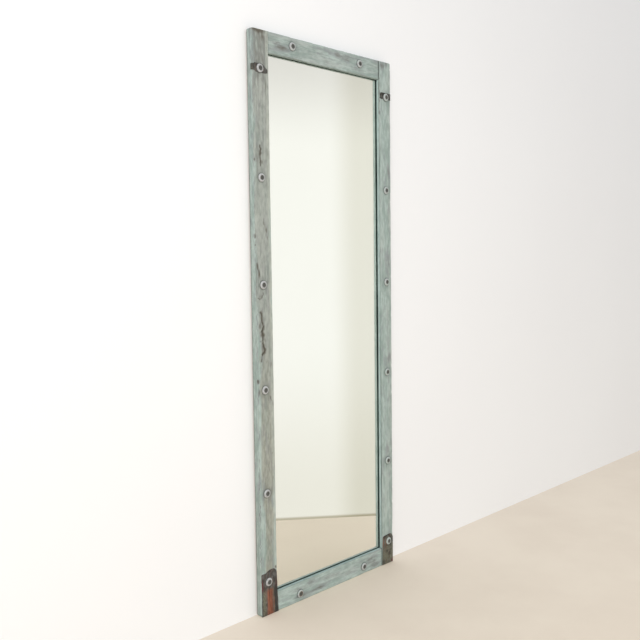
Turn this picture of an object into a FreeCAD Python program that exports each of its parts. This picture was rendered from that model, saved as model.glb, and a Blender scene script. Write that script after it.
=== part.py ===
import FreeCAD
import Part
import math
import os

from FreeCAD import Vector

# Dressing mirror: a tall flat glass in a frame of four old painted boards.
# Frame of reference: origin on the floor under the middle of the frame, +Z up,
# the glass faces -Y, +X is to the right of someone who looks into the mirror.
# All sizes are in millimetres.

# Frame boards
height = 1800.0
width = 640.0
left_stile_width = 66.0
right_stile_width = 62.0
top_rail_height = 65.0
bottom_rail_height = 65.0
left_corner_radius = 7.0
right_corner_radius = 4.0
outer_arris = 2.5
inner_arris = 1.0
back_arris = 1.0

# Rebates behind the front lip
lip_depth = 12.0
glass_rebate = 10.0
board_step = 12.0

# Mortise and tenon joints
tenon_length = 32.0
tenon_thickness = 7.0
tenon_wall = 4.0
tenon_end_wall = 14.0
tenon_clearance = 0.1
mortise_end_gap = 1.0

# Glass, what it stands on, and what closes the back
glass_thickness = 6.0
glass_seam = 0.8
glass_clearance = 2.0
setting_block_length = 50.0
setting_block_inset = 110.0
packing_thickness = 1.0
board_thickness = 3.0
board_clearance = 1.0

# Screw cups and countersunk screws on the front
cup_diameter = 26.0
cup_rim = 0.9
cup_crown = 0.9
cup_bulge = 0.9
cup_clearance = 0.1
face_head_radius = 6.0
face_head_rim = 0.4
face_head_recess = 0.4
face_shank_radius = 2.5
face_screw_cover = 5.0
face_slot_width = 1.3
face_slot_depth = 1.1
screw_point = 3.0
pilot_clearance = 0.05
pilot_spare_depth = 1.0
slot_turn = 37.0

# Where the front screws sit
left_screw_line = 30.0
right_screw_line = 27.0
top_screw_drop = 115.5
lowest_plain_screw = 389.0
right_screw_shift = -6.0
plain_screw_count = 5
rail_screw_inset = 100.0
top_rail_screw_drop = 28.0
bottom_rail_screw_rise = 26.0

# Iron straps high on the stiles
plate_thickness = 1.2
plate_hole_clearance = 0.3
plate_edge_gap = 0.6
left_strap_height = 24.0
left_strap_lift = 3.0
left_strap_fall = 4.0
left_strap_gap = 4.0
left_strap_nose = 12.0
left_strap_wrap = 7.0
strap_bend_ease = 0.3
right_strap_height = 24.0
right_strap_lift = 4.0
right_strap_gap = 5.0
right_strap_nose = 7.0

# Iron plates over the feet of the stiles
left_plate_height = 136.0
left_plate_rise = 11.0
left_plate_corner = 18.0
left_plate_near_corner = 2.0
left_plate_flare = 5.0
left_plate_head_gap = 1.6
left_plate_screw_drop = 29.0
right_plate_height = 107.0
right_plate_rise = 4.0
right_plate_gap = 1.0
right_plate_head_gap = 4.0
right_plate_near_corner = 7.0
right_plate_corner = 22.0
right_plate_screw_drop = 23.0

# Screws of the backing board
board_head_radius = 3.5
board_head_rim = 0.2
board_shank_radius = 1.6
board_screw_cover = 8.0
board_slot_width = 0.9
board_slot_depth = 0.7
board_screw_end_inset = 70.0
board_screws_per_side = 6
board_screws_per_end = 2

# Hangers on the back: a screwed strap with a rolled eye, and a D-ring that swings in it
hanger_drop = 270.0
hanger_line = 22.0
hanger_width = 16.0
hanger_thickness = 1.2
hanger_head_radius = 3.5
hanger_head_height = 2.0
hanger_head_gap = 5.0
hanger_shank_radius = 1.75
hanger_screw_pitch = 16.0
hanger_screw_cover = 8.0
ring_wire_radius = 1.5
ring_inner_width = 20.0
ring_bend_radius = 2.5
ring_leg = 3.5
ring_clearance = 0.3

# Rubber wall bumpers low on the back
bumper_diameter = 20.0
bumper_edge = 1.5
bumper_rise = 60.0

# Depth of the stack that the boards enclose: lip, glass, packing and backing board
thickness = lip_depth + glass_thickness + packing_thickness + board_thickness

# Planes and lines that several pieces share
left = -width / 2
right = width / 2
front = -thickness / 2
back = thickness / 2
open_left = left + left_stile_width
open_right = right - right_stile_width
open_bottom = bottom_rail_height
open_top = height - top_rail_height
glass_front = front + lip_depth
glass_back = glass_front + glass_thickness
board_front = back - board_thickness
glass_overlap = glass_rebate - glass_clearance
board_rebate = glass_rebate + board_step
cup_height = face_head_recess + face_head_rim + face_head_radius - face_shank_radius
eye_radius = ring_wire_radius + ring_clearance
eye_outer_radius = eye_radius + hanger_thickness
pivot_back = back + eye_outer_radius
pivot_level = height - hanger_drop
ring_half_width = ring_inner_width / 2 + ring_wire_radius
ring_reach = ring_bend_radius + ring_leg + ring_half_width + ring_wire_radius


def box(x_range, y_range, z_range):
    """Block between two limits on each axis."""
    size = [high - low for low, high in (x_range, y_range, z_range)]
    return Part.makeBox(*size, Vector(x_range[0], y_range[0], z_range[0]))


def grown(limits, margin):
    return (limits[0] - margin, limits[1] + margin)


def near(value, target):
    return abs(value - target) < 1e-4


def edges_where(shape, test):
    """Edges of a shape whose middle and both ends pass a test on x, y and z."""
    chosen = []
    for edge in shape.Edges:
        middle = edge.valueAt((edge.FirstParameter + edge.LastParameter) / 2)
        points = [middle] + [vertex.Point for vertex in edge.Vertexes]
        if all(test(point) for point in points):
            chosen.append(edge)
    return chosen


def turned(edges):
    """Solid of revolution about the Y axis: the profile has X as its radius."""
    face = Part.Face(Part.Wire(edges))
    return face.revolve(Vector(0, 0, 0), Vector(0, 1, 0), 360)


def lines(points):
    """Straight edges through points given as (radius, depth)."""
    corners = [Vector(radius, depth, 0) for radius, depth in points]
    return [Part.LineSegment(a, b).toShape() for a, b in zip(corners, corners[1:])]


def drilled(x, z, radius, y_from, y_to):
    """Round bar along Y: a hole to be cut from a piece, or a disc."""
    return Part.makeCylinder(radius, y_to - y_from, Vector(x, y_from, z), Vector(0, 1, 0))


def on_back(solid):
    """Turns a fixing made to enter the front face so that it enters the back face."""
    turned_round = solid.copy()
    turned_round.rotate(Vector(0, 0, 0), Vector(0, 0, 1), 180)
    return turned_round


def spread(first, last, count):
    """Evenly spaced places from first to last."""
    step = (last - first) / (count - 1)
    return [first + step * index for index in range(count)]


def write(name, *solids):
    shape = solids[0] if len(solids) == 1 else Part.makeCompound(solids)
    shape.exportStep(f"parts/{name}.step")


def countersunk_screw(head_radius, head_rim, shank_radius, length, slot_width, slot_depth, turn):
    """Slotted countersunk screw along +Y, with the middle of its flat head at the origin."""
    outline = [
        (0, 0),
        (head_radius, 0),
        (head_radius, head_rim),
        (shank_radius, head_rim + head_radius - shank_radius),
        (shank_radius, length - screw_point),
        (0, length),
        (0, 0),
    ]
    slot = box((-head_radius, head_radius), (0, slot_depth), (-slot_width / 2, slot_width / 2))
    slot.rotate(Vector(0, 0, 0), Vector(0, 1, 0), turn)
    return turned(lines(outline)).cut(slot)


def screw_cup():
    """Turned screw cup: a ring with a domed outside and a countersunk seat, its foot at the origin."""
    foot_radius = cup_diameter / 2
    seat_low = face_shank_radius + cup_clearance
    seat_high = face_head_radius + face_head_recess + face_head_rim + cup_clearance
    crown_radius = seat_high + cup_crown
    shoulder = Vector(foot_radius, -cup_rim, 0)
    crown = Vector(crown_radius, -cup_height, 0)
    outwards = (crown - shoulder).cross(Vector(0, 0, 1)).normalize()
    middle = (shoulder + crown) / 2 - outwards * cup_bulge
    dome = Part.Arc(shoulder, middle, crown).toShape()
    rim = lines([(foot_radius, 0), (foot_radius, -cup_rim)])
    seat = lines([(crown_radius, -cup_height), (seat_high, -cup_height), (seat_low, 0), (foot_radius, 0)])
    return turned(rim + [dome] + seat)


def domed_screw(length):
    """Screw along +Y with a head that is a cap of a sphere, the underside of the head at the origin."""
    sphere = (hanger_head_radius**2 + hanger_head_height**2) / (2 * hanger_head_height)
    half_angle = math.asin(hanger_head_radius / sphere) / 2
    crown = Vector(0, -hanger_head_height, 0)
    between = crown + Vector(sphere * math.sin(half_angle), sphere * (1 - math.cos(half_angle)), 0)
    dome = Part.Arc(crown, between, Vector(hanger_head_radius, 0, 0)).toShape()
    shank = lines([
        (hanger_head_radius, 0),
        (hanger_shank_radius, 0),
        (hanger_shank_radius, length - screw_point),
        (0, length),
        (0, -hanger_head_height),
    ])
    return turned([dome] + shank)


# Places of the front screws: (x, z, thickness of the iron under the cup)
left_stile_levels = spread(lowest_plain_screw, height - top_screw_drop, plain_screw_count)
right_stile_levels = [level + right_screw_shift for level in left_stile_levels]
left_screw_x = left + left_screw_line
right_screw_x = right - right_screw_line
left_foot_level = left_plate_height - left_plate_screw_drop
right_foot_level = right_plate_height - right_plate_screw_drop


def stile_screws(x, foot_level, levels):
    """One screw through the foot plate, plain ones up the stile, the last through the strap."""
    places = [(x, foot_level, plate_thickness)]
    places += [(x, level, 0.0) for level in levels[:-1]]
    places.append((x, levels[-1], plate_thickness))
    return places


def rail_screws(z):
    return [(open_left + rail_screw_inset, z, 0.0), (open_right - rail_screw_inset, z, 0.0)]


screw_places = {
    "left_stile": stile_screws(left_screw_x, left_foot_level, left_stile_levels),
    "right_stile": stile_screws(right_screw_x, right_foot_level, right_stile_levels),
    "top_rail": rail_screws(height - top_rail_screw_drop),
    "bottom_rail": rail_screws(bottom_rail_screw_rise),
}
face_screw_length = cup_height - face_head_recess + thickness - face_screw_cover

# Places of the backing board's screws, halfway across the step that carries the board
board_screw_margin = glass_rebate + board_step / 2
side_levels = spread(
    open_bottom + board_screw_end_inset,
    open_top - board_screw_end_inset,
    board_screws_per_side,
)
end_places = spread(
    open_left + board_screw_end_inset,
    open_right - board_screw_end_inset,
    board_screws_per_end,
)
board_screw_places = {
    "left_stile": [(open_left - board_screw_margin, level) for level in side_levels],
    "right_stile": [(open_right + board_screw_margin, level) for level in side_levels],
    "top_rail": [(x, open_top + board_screw_margin) for x in end_places],
    "bottom_rail": [(x, open_bottom - board_screw_margin) for x in end_places],
}
all_board_screws = [place for places in board_screw_places.values() for place in places]
board_screw_length = thickness - board_screw_cover

# Places of the hanger screws, below the reach of the ring
hanger_x = {"left": left + hanger_line, "right": right - hanger_line}
first_hanger_screw = pivot_level - ring_reach - hanger_head_gap - hanger_head_radius
hanger_screw_levels = [first_hanger_screw, first_hanger_screw - hanger_screw_pitch]
hanger_screw_length = hanger_thickness + thickness - hanger_screw_cover

# Hollows that the rebates leave behind the lip, and where the tenons lie
glass_pocket = box(
    (open_left - glass_rebate, open_right + glass_rebate),
    (glass_front, board_front),
    (open_bottom - glass_rebate, open_top + glass_rebate),
)
board_pocket = box(
    (open_left - board_rebate, open_right + board_rebate),
    (board_front, back),
    (open_bottom - board_rebate, open_top + board_rebate),
)
tenon_inset = glass_rebate + tenon_wall
tenon_depths = (-tenon_thickness / 2, tenon_thickness / 2)
tenon_levels = {
    "top_rail": (open_top + tenon_inset, height - tenon_end_wall),
    "bottom_rail": (tenon_end_wall, open_bottom - tenon_inset),
}


def mortise(x_range, rail_name):
    z_range = grown(tenon_levels[rail_name], tenon_clearance)
    return box(x_range, grown(tenon_depths, tenon_clearance), z_range)


def pilot_holes(board):
    """All the screw holes of one frame board, from the front and from the back."""
    holes = []
    for x, z, _ in screw_places[board]:
        tip = back - face_screw_cover + pilot_spare_depth
        holes.append(drilled(x, z, face_shank_radius + pilot_clearance, front, tip))
    for x, z in board_screw_places[board]:
        tip = front + board_screw_cover - pilot_spare_depth
        holes.append(drilled(x, z, board_shank_radius + pilot_clearance, tip, back))
    side = board.replace("_stile", "")
    if side in hanger_x:
        tip = front + hanger_screw_cover - pilot_spare_depth
        for z in hanger_screw_levels:
            holes.append(drilled(hanger_x[side], z, hanger_shank_radius + pilot_clearance, tip, back))
    return holes


def stile(name, outer, inner, corner_radius):
    """Full-height board with worn outer corners, rebates along its inner back edge, and two mortises."""
    blank = box(sorted((outer, inner)), (front, back), (0, height))
    corners = edges_where(blank, lambda p: near(p.x, outer) and (near(p.z, 0) or near(p.z, height)))
    blank = blank.makeFillet(corner_radius, corners)
    rim = [e for e in edges_where(blank, lambda p: near(p.y, front)) if not near(e.CenterOfMass.x, inner)]
    blank = blank.makeFillet(outer_arris, rim)
    inner_edge = edges_where(blank, lambda p: near(p.y, front) and near(p.x, inner))
    blank = blank.makeFillet(inner_arris, inner_edge)
    rear = [e for e in edges_where(blank, lambda p: near(p.y, back)) if not near(e.CenterOfMass.x, inner)]
    blank = blank.makeFillet(back_arris, rear)
    hollow = sorted((inner, inner + math.copysign(tenon_length + mortise_end_gap, outer)))
    cuts = [glass_pocket, board_pocket, mortise(hollow, "top_rail"), mortise(hollow, "bottom_rail")]
    return blank.cut(cuts + pilot_holes(name))


def rail(name, outer, inner):
    """Cross board between the stiles, with a tenon at each end and rebates along its inner back edge."""
    blank = box((open_left, open_right), (front, back), sorted((outer, inner)))
    outer_edge = edges_where(blank, lambda p: near(p.y, front) and near(p.z, outer))
    blank = blank.makeFillet(outer_arris, outer_edge)
    inner_edge = edges_where(blank, lambda p: near(p.y, front) and near(p.z, inner))
    blank = blank.makeFillet(inner_arris, inner_edge)
    rear_edge = edges_where(blank, lambda p: near(p.y, back) and near(p.z, outer))
    blank = blank.makeFillet(back_arris, rear_edge)
    tenons = box(grown((open_left, open_right), tenon_length), tenon_depths, tenon_levels[name])
    return blank.fuse(tenons).removeSplitter().cut([glass_pocket, board_pocket] + pilot_holes(name))


def mirror_glass():
    """Flat sheet with seamed edges, held behind the lip all round."""
    x_range = grown((open_left, open_right), glass_overlap)
    z_range = grown((open_bottom, open_top), glass_overlap)
    sheet = box(x_range, (glass_front, glass_back), z_range)
    rims = edges_where(sheet, lambda p: near(p.y, glass_front) or near(p.y, glass_back))
    return sheet.makeChamfer(glass_seam, rims)


def iron_blank(outline, corners, depth):
    """Prism from the front of the iron backwards: an outline of (x, z), its {corner: radius} rounded."""
    points = [Vector(x, front - plate_thickness, z) for x, z in outline + outline[:1]]
    blank = Part.Face(Part.makePolygon(points)).extrude(Vector(0, depth, 0))
    for (x, z), radius in corners.items():
        edge = edges_where(blank, lambda p: near(p.x, x) and near(p.z, z))
        blank = blank.makeFillet(radius, edge)
    return blank


def iron_hole(x, z):
    return drilled(x, z, face_shank_radius + plate_hole_clearance, front - plate_thickness, front)


def left_upper_strap():
    """Strap bent round the outer arris on to the side, falling towards the glass to a rounded end."""
    outside = left - plate_thickness
    x_to = open_left - left_strap_gap
    level = left_stile_levels[-1]
    low = level + left_strap_lift - left_strap_height / 2
    high = low + left_strap_height
    nose = (x_to, high - left_strap_fall)
    levels = (low - left_strap_fall, high)
    face = front - plate_thickness
    leg = box((outside, left), (face, front + left_strap_wrap), levels)
    bent = box((outside, x_to), (face, front), levels).fuse(leg).removeSplitter()
    bend = outer_arris - strap_bend_ease
    bent = bent.makeFillet(bend, edges_where(bent, lambda p: near(p.x, left) and near(p.y, front)))
    ridge = edges_where(bent, lambda p: near(p.x, outside) and near(p.y, face))
    bent = bent.makeFillet(bend + plate_thickness, ridge)
    outline = [(outside, low), (left, low), (x_to, low - left_strap_fall)]
    outline += [nose, (left, high), (outside, high)]
    blank = iron_blank(outline, {nose: left_strap_nose}, plate_thickness + left_strap_wrap)
    return bent.common(blank).cut(iron_hole(left_screw_x, level))


def right_upper_strap():
    """Level strap, its end towards the glass rounded off at the top."""
    x_from = open_right + right_strap_gap
    x_to = right - plate_edge_gap
    level = right_stile_levels[-1]
    low = level + right_strap_lift - right_strap_height / 2
    high = low + right_strap_height
    nose = (x_from, high)
    outline = [(x_from, low), (x_to, low), (x_to, high), nose]
    blank = iron_blank(outline, {nose: right_strap_nose}, plate_thickness)
    return blank.cut(iron_hole(right_screw_x, level))


def left_foot_plate():
    """Plate over the foot of the left stile, cut wider at the floor, where it laps the end of the rail."""
    outer = left + plate_edge_gap
    near_corner = (outer, left_plate_height)
    far_corner = (open_left - left_plate_head_gap, left_plate_height + left_plate_rise)
    foot = (open_left + left_plate_flare, plate_edge_gap)
    outline = [(outer, plate_edge_gap), foot, far_corner, near_corner]
    corners = {near_corner: left_plate_near_corner, far_corner: left_plate_corner}
    return iron_blank(outline, corners, plate_thickness).cut(iron_hole(left_screw_x, left_foot_level))


def right_foot_plate():
    """Plate over the foot of the right stile, its top edge rising to the right, both top corners rounded."""
    outer = right - plate_edge_gap
    near_corner = (open_right + right_plate_head_gap, right_plate_height)
    far_corner = (outer, right_plate_height + right_plate_rise)
    foot = (open_right + right_plate_gap, plate_edge_gap)
    outline = [foot, (outer, plate_edge_gap), far_corner, near_corner]
    corners = {near_corner: right_plate_near_corner, far_corner: right_plate_corner}
    return iron_blank(outline, corners, plate_thickness).cut(iron_hole(right_screw_x, right_foot_level))


def setting_blocks():
    """Two rubber strips in the bottom rebate, on which the glass stands."""
    depths = (glass_front, glass_back)
    levels = (open_bottom - glass_rebate, open_bottom - glass_overlap)
    left_start = open_left + setting_block_inset
    right_start = open_right - setting_block_inset - setting_block_length
    return [box((x, x + setting_block_length), depths, levels) for x in (left_start, right_start)]


def packing_sheet():
    return box(
        grown((open_left, open_right), glass_overlap),
        (glass_back, board_front),
        grown((open_bottom, open_top), glass_overlap),
    )


def backing_board():
    """Board let in flush with the back of the frame, with a countersunk hole for each of its screws."""
    margin = board_rebate - board_clearance
    x_range = grown((open_left, open_right), margin)
    z_range = grown((open_bottom, open_top), margin)
    board = box(x_range, (board_front, back), z_range)
    radius = board_shank_radius + pilot_clearance
    head = board_head_radius + pilot_clearance
    sink = [
        (0, 0),
        (head, 0),
        (head, board_head_rim),
        (radius, board_head_rim + head - radius),
        (radius, board_thickness),
        (0, board_thickness),
        (0, 0),
    ]
    hole = on_back(turned(lines(sink)))
    return board.cut([hole.translated(Vector(x, back, z)) for x, z in all_board_screws])


def backing_board_screws():
    head = (board_head_radius, board_head_rim, board_shank_radius)
    slot = (board_slot_width, board_slot_depth)
    screws = []
    for index, (x, z) in enumerate(all_board_screws):
        screw = on_back(countersunk_screw(*head, board_screw_length, *slot, slot_turn * index))
        screws.append(screw.translated(Vector(x, back, z)))
    return screws


def face_screws(places):
    head = (face_head_radius, face_head_rim, face_shank_radius)
    slot = (face_slot_width, face_slot_depth)
    screws = []
    for index, (x, z, iron) in enumerate(places):
        screw = countersunk_screw(*head, face_screw_length, *slot, slot_turn * index)
        screws.append(screw.translated(Vector(x, front - iron - cup_height + face_head_recess, z)))
    return screws


def screw_cups(places):
    cup = screw_cup()
    return [cup.translated(Vector(x, front - iron, z)) for x, z, iron in places]


def hanger_strap(x):
    """Steel strip with a round foot and an eye rolled in its top end, lying on the back of a stile."""
    half = hanger_width / 2
    depths = (back, back + hanger_thickness)
    foot_level = hanger_screw_levels[-1]
    strip = box((x - half, x + half), depths, (foot_level, pivot_level))
    foot = drilled(x, foot_level, half, *depths)
    start = Vector(x - half, pivot_back, pivot_level)
    eye = Part.makeCylinder(eye_outer_radius, hanger_width, start, Vector(1, 0, 0))
    bore = Part.makeCylinder(eye_radius, hanger_width, start, Vector(1, 0, 0))
    radius = hanger_shank_radius + pilot_clearance
    holes = [drilled(x, z, radius, *depths) for z in hanger_screw_levels]
    return strip.fuse([foot, eye]).removeSplitter().cut([bore] + holes)


def hanger_ring(x):
    """D-ring of round wire: a bar through the eye, two bends, two legs and a half circle below."""
    wire = ring_wire_radius
    bar_half = ring_half_width - ring_bend_radius
    bend_level = pivot_level - ring_bend_radius
    bow_level = bend_level - ring_leg
    middle = Vector(x, pivot_back, 0)
    bar_start = middle + Vector(-bar_half, 0, pivot_level)
    bar = Part.makeCylinder(wire, bar_half * 2, bar_start, Vector(1, 0, 0))
    bend_hoop = Part.makeTorus(ring_bend_radius, wire, Vector(0, 0, 0), Vector(0, 1, 0))
    bend_reach = ring_bend_radius + wire
    pieces = []
    for side in (-1, 1):
        leg_foot = middle + Vector(side * ring_half_width, 0, bow_level)
        pieces.append(Part.makeCylinder(wire, ring_leg, leg_foot, Vector(0, 0, 1)))
        quarter = bend_hoop.common(box(sorted((0, side * bend_reach)), (-wire, wire), (0, bend_reach)))
        pieces.append(quarter.translated(middle + Vector(side * bar_half, 0, bend_level)))
    bow_hoop = Part.makeTorus(ring_half_width, wire, Vector(0, 0, 0), Vector(0, 1, 0))
    bow_reach = ring_half_width + wire
    bow = bow_hoop.common(box((-bow_reach, bow_reach), (-wire, wire), (-bow_reach, 0)))
    pieces.append(bow.translated(middle + Vector(0, 0, bow_level)))
    return bar.fuse(pieces).removeSplitter()


def hanger_screws(x):
    screw = on_back(domed_screw(hanger_screw_length))
    return [screw.translated(Vector(x, back + hanger_thickness, z)) for z in hanger_screw_levels]


def wall_bumper(x):
    """Round rubber button, as thick as the hangers stand proud of the back."""
    face = back + 2 * eye_outer_radius
    disc = drilled(x, bumper_rise, bumper_diameter / 2, back, face)
    return disc.makeFillet(bumper_edge, edges_where(disc, lambda p: near(p.y, face)))


os.makedirs("parts", exist_ok=True)

# Frame boards
write("left_stile", stile("left_stile", left, open_left, left_corner_radius))
write("right_stile", stile("right_stile", right, open_right, right_corner_radius))
write("top_rail", rail("top_rail", height, open_top))
write("bottom_rail", rail("bottom_rail", 0, open_bottom))

# Glass and what lies behind it
write("mirror_glass", mirror_glass())
write("setting_blocks", *setting_blocks())
write("packing_sheet", packing_sheet())
write("backing_board", backing_board())
write("backing_board_screws", *backing_board_screws())

# Ironwork on the front
write("left_upper_strap", left_upper_strap())
write("right_upper_strap", right_upper_strap())
write("left_foot_plate", left_foot_plate())
write("right_foot_plate", right_foot_plate())

# Screw cups and their screws, one group of each for each frame board
for board, places in screw_places.items():
    write(f"{board}_screw_cups", *screw_cups(places))
    write(f"{board}_screws", *face_screws(places))

# Hangers and wall bumpers on the back
for side, x in hanger_x.items():
    write(f"{side}_hanger_strap", hanger_strap(x))
    write(f"{side}_hanger_ring", hanger_ring(x))
    write(f"{side}_hanger_screws", *hanger_screws(x))
    write(f"{side}_wall_bumper", wall_bumper(x))
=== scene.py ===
import bmesh
import bpy
import numpy as np
from mathutils import Matrix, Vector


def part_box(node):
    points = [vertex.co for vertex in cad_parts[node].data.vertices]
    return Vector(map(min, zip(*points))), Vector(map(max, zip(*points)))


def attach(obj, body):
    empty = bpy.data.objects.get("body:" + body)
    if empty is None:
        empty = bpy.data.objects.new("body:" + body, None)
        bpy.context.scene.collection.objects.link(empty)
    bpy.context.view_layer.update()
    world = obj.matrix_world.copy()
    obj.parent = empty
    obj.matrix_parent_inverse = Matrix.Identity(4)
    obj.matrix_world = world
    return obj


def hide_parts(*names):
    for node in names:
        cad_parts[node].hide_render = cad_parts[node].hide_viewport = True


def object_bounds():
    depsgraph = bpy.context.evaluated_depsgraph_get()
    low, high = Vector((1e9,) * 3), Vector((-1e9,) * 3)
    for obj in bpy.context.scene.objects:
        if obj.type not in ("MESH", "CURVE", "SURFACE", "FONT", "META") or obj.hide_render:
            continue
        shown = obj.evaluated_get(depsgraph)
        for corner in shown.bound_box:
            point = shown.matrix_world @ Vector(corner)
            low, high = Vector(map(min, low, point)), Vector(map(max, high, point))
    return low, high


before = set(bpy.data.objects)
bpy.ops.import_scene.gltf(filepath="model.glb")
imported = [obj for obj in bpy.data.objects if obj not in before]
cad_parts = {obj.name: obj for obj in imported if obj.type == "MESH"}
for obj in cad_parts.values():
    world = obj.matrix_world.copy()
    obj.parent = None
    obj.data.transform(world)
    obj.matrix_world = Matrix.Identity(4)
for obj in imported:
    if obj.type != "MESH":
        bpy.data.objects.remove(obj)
cad_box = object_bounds()

# Frame boards
# Two full-height stiles with two rails tenoned between them, sawn from old softwood in its sea-green paint.
# The paint is rubbed to grey along the faces, and rebates behind the lip hold the glass and backing board.
stile_low, stile_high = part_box("left_stile")
right_low, right_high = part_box("right_stile")
glass_low, glass_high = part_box("mirror_glass")
backing_low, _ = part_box("backing_board")
top_rail_low, top_rail_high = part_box("top_rail")
bottom_rail_low, bottom_rail_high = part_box("bottom_rail")
board_depth = stile_high.y - stile_low.y
lip_depth = glass_low.y - stile_low.y
step_depth = backing_low.y - stile_low.y
glass_play = 0.002
backing_play = 0.001
glass_cut = stile_high.x - glass_low.x + glass_play
backing_cut = stile_high.x - backing_low.x + backing_play
outer_arris = 0.0025
inner_arris = 0.001
rear_arris = 0.001
seam_ease = 0.0006
hairline_share = 0.02
stop_wall = 0.0001
left_corner = 0.007
right_corner = 0.004
cup_radius = 0.013
fine_step = 0.001
coarse_step = 0.006
station_step = 0.0025
end_zone = max(left_corner, right_corner)
end_sections = 8
table_side = 256
grain_shift = 0.37


def smooth_step(value, low, high):
    """0 at low and 1 at high, with the cubic 3t*t - 2t*t*t between them."""
    t = np.clip((value - low) / (high - low), 0, 1)
    return t * t * (3 - 2 * t)


def patches(first, second, first_cell, second_cell, seed):
    """Random number from -1 to 1 that changes smoothly: random values at the corners of a grid of cells,
    eased from corner to corner by the smooth step. Past the last cell of its table the grid starts again."""
    table = np.random.default_rng(seed).uniform(-1, 1, (table_side, table_side))
    p, q = np.broadcast_arrays(first / first_cell, second / second_cell)
    i, j = np.floor(p).astype(int), np.floor(q).astype(int)
    s, t = smooth_step(p - i, 0, 1), smooth_step(q - j, 0, 1)
    i, j, next_i, next_j = (index % table_side for index in (i, j, i + 1, j + 1))
    low = table[i, j] * (1 - s) + table[next_i, j] * s
    high = table[i, next_j] * (1 - s) + table[next_i, next_j] * s
    return low * (1 - t) + high * t


def rounded(distance, radius):
    """How far a quarter circle stands back from a square edge at a distance from that edge."""
    inside = radius - np.clip(distance, 0, radius)
    return radius - np.sqrt(np.maximum(radius**2 - inside**2, 0))


def bell(offset, width):
    """1 at no offset, and beside it e to the power of minus the square of offset over width."""
    return np.exp(-((offset / width) ** 2))


def straight(first, last, spacing):
    """Points from first up to, and without, last."""
    first, last = np.array(first), np.array(last)
    count = max(2, int(round(np.linalg.norm(last - first) / spacing)))
    return first + (last - first) * (np.arange(count) / count)[:, None]


def quarter(middle, radius, start, count):
    """Points on a quarter circle, from the start angle up to, and without, its end."""
    angle = start + np.pi / 2 * np.arange(count) / count
    return np.array(middle) + radius * np.stack([np.cos(angle), np.sin(angle)], -1)


def board_section(width):
    """Closed outline of a board as (across, deep) points, with the distance along it from the front edge: up
    the outer side, over the arris, across the face, down the reveal, along the rebates and the back."""
    inner = width - glass_cut
    rear = width - backing_cut
    points = np.concatenate([
        straight((0, board_depth - rear_arris), (0, outer_arris), fine_step),
        quarter((outer_arris, outer_arris), outer_arris, np.pi, 6),
        straight((outer_arris, 0), (width - inner_arris, 0), fine_step),
        quarter((width - inner_arris, inner_arris), inner_arris, 1.5 * np.pi, 4),
        straight((width, inner_arris), (width, lip_depth), fine_step),
        straight((width, lip_depth), (inner, lip_depth), coarse_step),
        straight((inner, lip_depth), (inner, step_depth), coarse_step),
        straight((inner, step_depth), (rear, step_depth), coarse_step),
        straight((rear, step_depth), (rear, board_depth), coarse_step),
        straight((rear, board_depth), (rear_arris, board_depth), coarse_step),
        quarter((rear_arris, board_depth - rear_arris), rear_arris, np.pi / 2, 3),
    ])
    steps = np.linalg.norm(np.diff(points, axis=0), axis=1)
    travelled = np.concatenate([[0], np.cumsum(steps)])
    return points, travelled - (board_depth - rear_arris) + outer_arris * (2 - np.pi / 2)


def shade(red, green, blue):
    """Linear colour of a display colour from 0 to 255: a power of 2.4 above a short straight start."""
    display = np.array([red, green, blue]) / 255
    linear = np.where(display <= 0.04045, display / 12.92, ((display + 0.055) / 1.055) ** 2.4)
    return (*map(float, linear), 1.0)


class Recipe:
    """A node tree, with short words for the nodes that the finishes are made from."""

    def __init__(self, tree):
        self.tree = tree

    def node(self, kind, inputs, **settings):
        """Adds a node, with its settings, and sets or links its inputs by name or number."""
        made = self.tree.nodes.new("ShaderNode" + kind)
        for key, value in settings.items():
            setattr(made, key, value)
        for key, value in inputs.items():
            if isinstance(value, bpy.types.NodeSocket):
                self.tree.links.new(value, made.inputs[key])
            else:
                made.inputs[key].default_value = value
        return made

    def blend(self, factor, first, second):
        """Colour that goes from the first to the second as the factor goes from 0 to 1."""
        return self.node("Mix", {0: factor, 6: first, 7: second}, data_type="RGBA").outputs[2]

    def between(self, value, low, high):
        """0 at low and 1 at high, eased between them."""
        inputs = {"Value": value, "From Min": low, "From Max": high}
        return self.node("MapRange", inputs, interpolation_type="SMOOTHSTEP").outputs["Result"]

    def sums(self, operation, first, second):
        """Result of an operation, given by its name, on two numbers."""
        return self.node("Math", {0: first, 1: second}, operation=operation).outputs[0]

    def times(self, first, second):
        """Product of two numbers."""
        return self.sums("MULTIPLY", first, second)

    def plus(self, first, second):
        """Sum of two numbers."""
        return self.sums("ADD", first, second)

    def mottle(self, place, cells, detail=4.0, roughness=0.55):
        """Cloudy noise whose cells have the given size along each axis, in metres."""
        scaled = self.node("VectorMath", {0: place, 1: cells}, operation="DIVIDE").outputs[0]
        inputs = {"Vector": scaled, "Scale": 1.0, "Detail": detail, "Roughness": roughness}
        return self.node("TexNoise", inputs).outputs["Fac"]

    def reading(self, name, output="Fac"):
        """What the mesh keeps for each vertex under a name."""
        return self.node("Attribute", {}, attribute_name=name).outputs[output]

    def place(self):
        """Place on the piece, in metres."""
        return self.node("TexCoord", {}).outputs["Object"]

    def shared(self, group, **inputs):
        """Results of a shared effect, in the order of its sockets."""
        return list(self.node("Group", inputs, node_tree=group).outputs)


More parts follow.
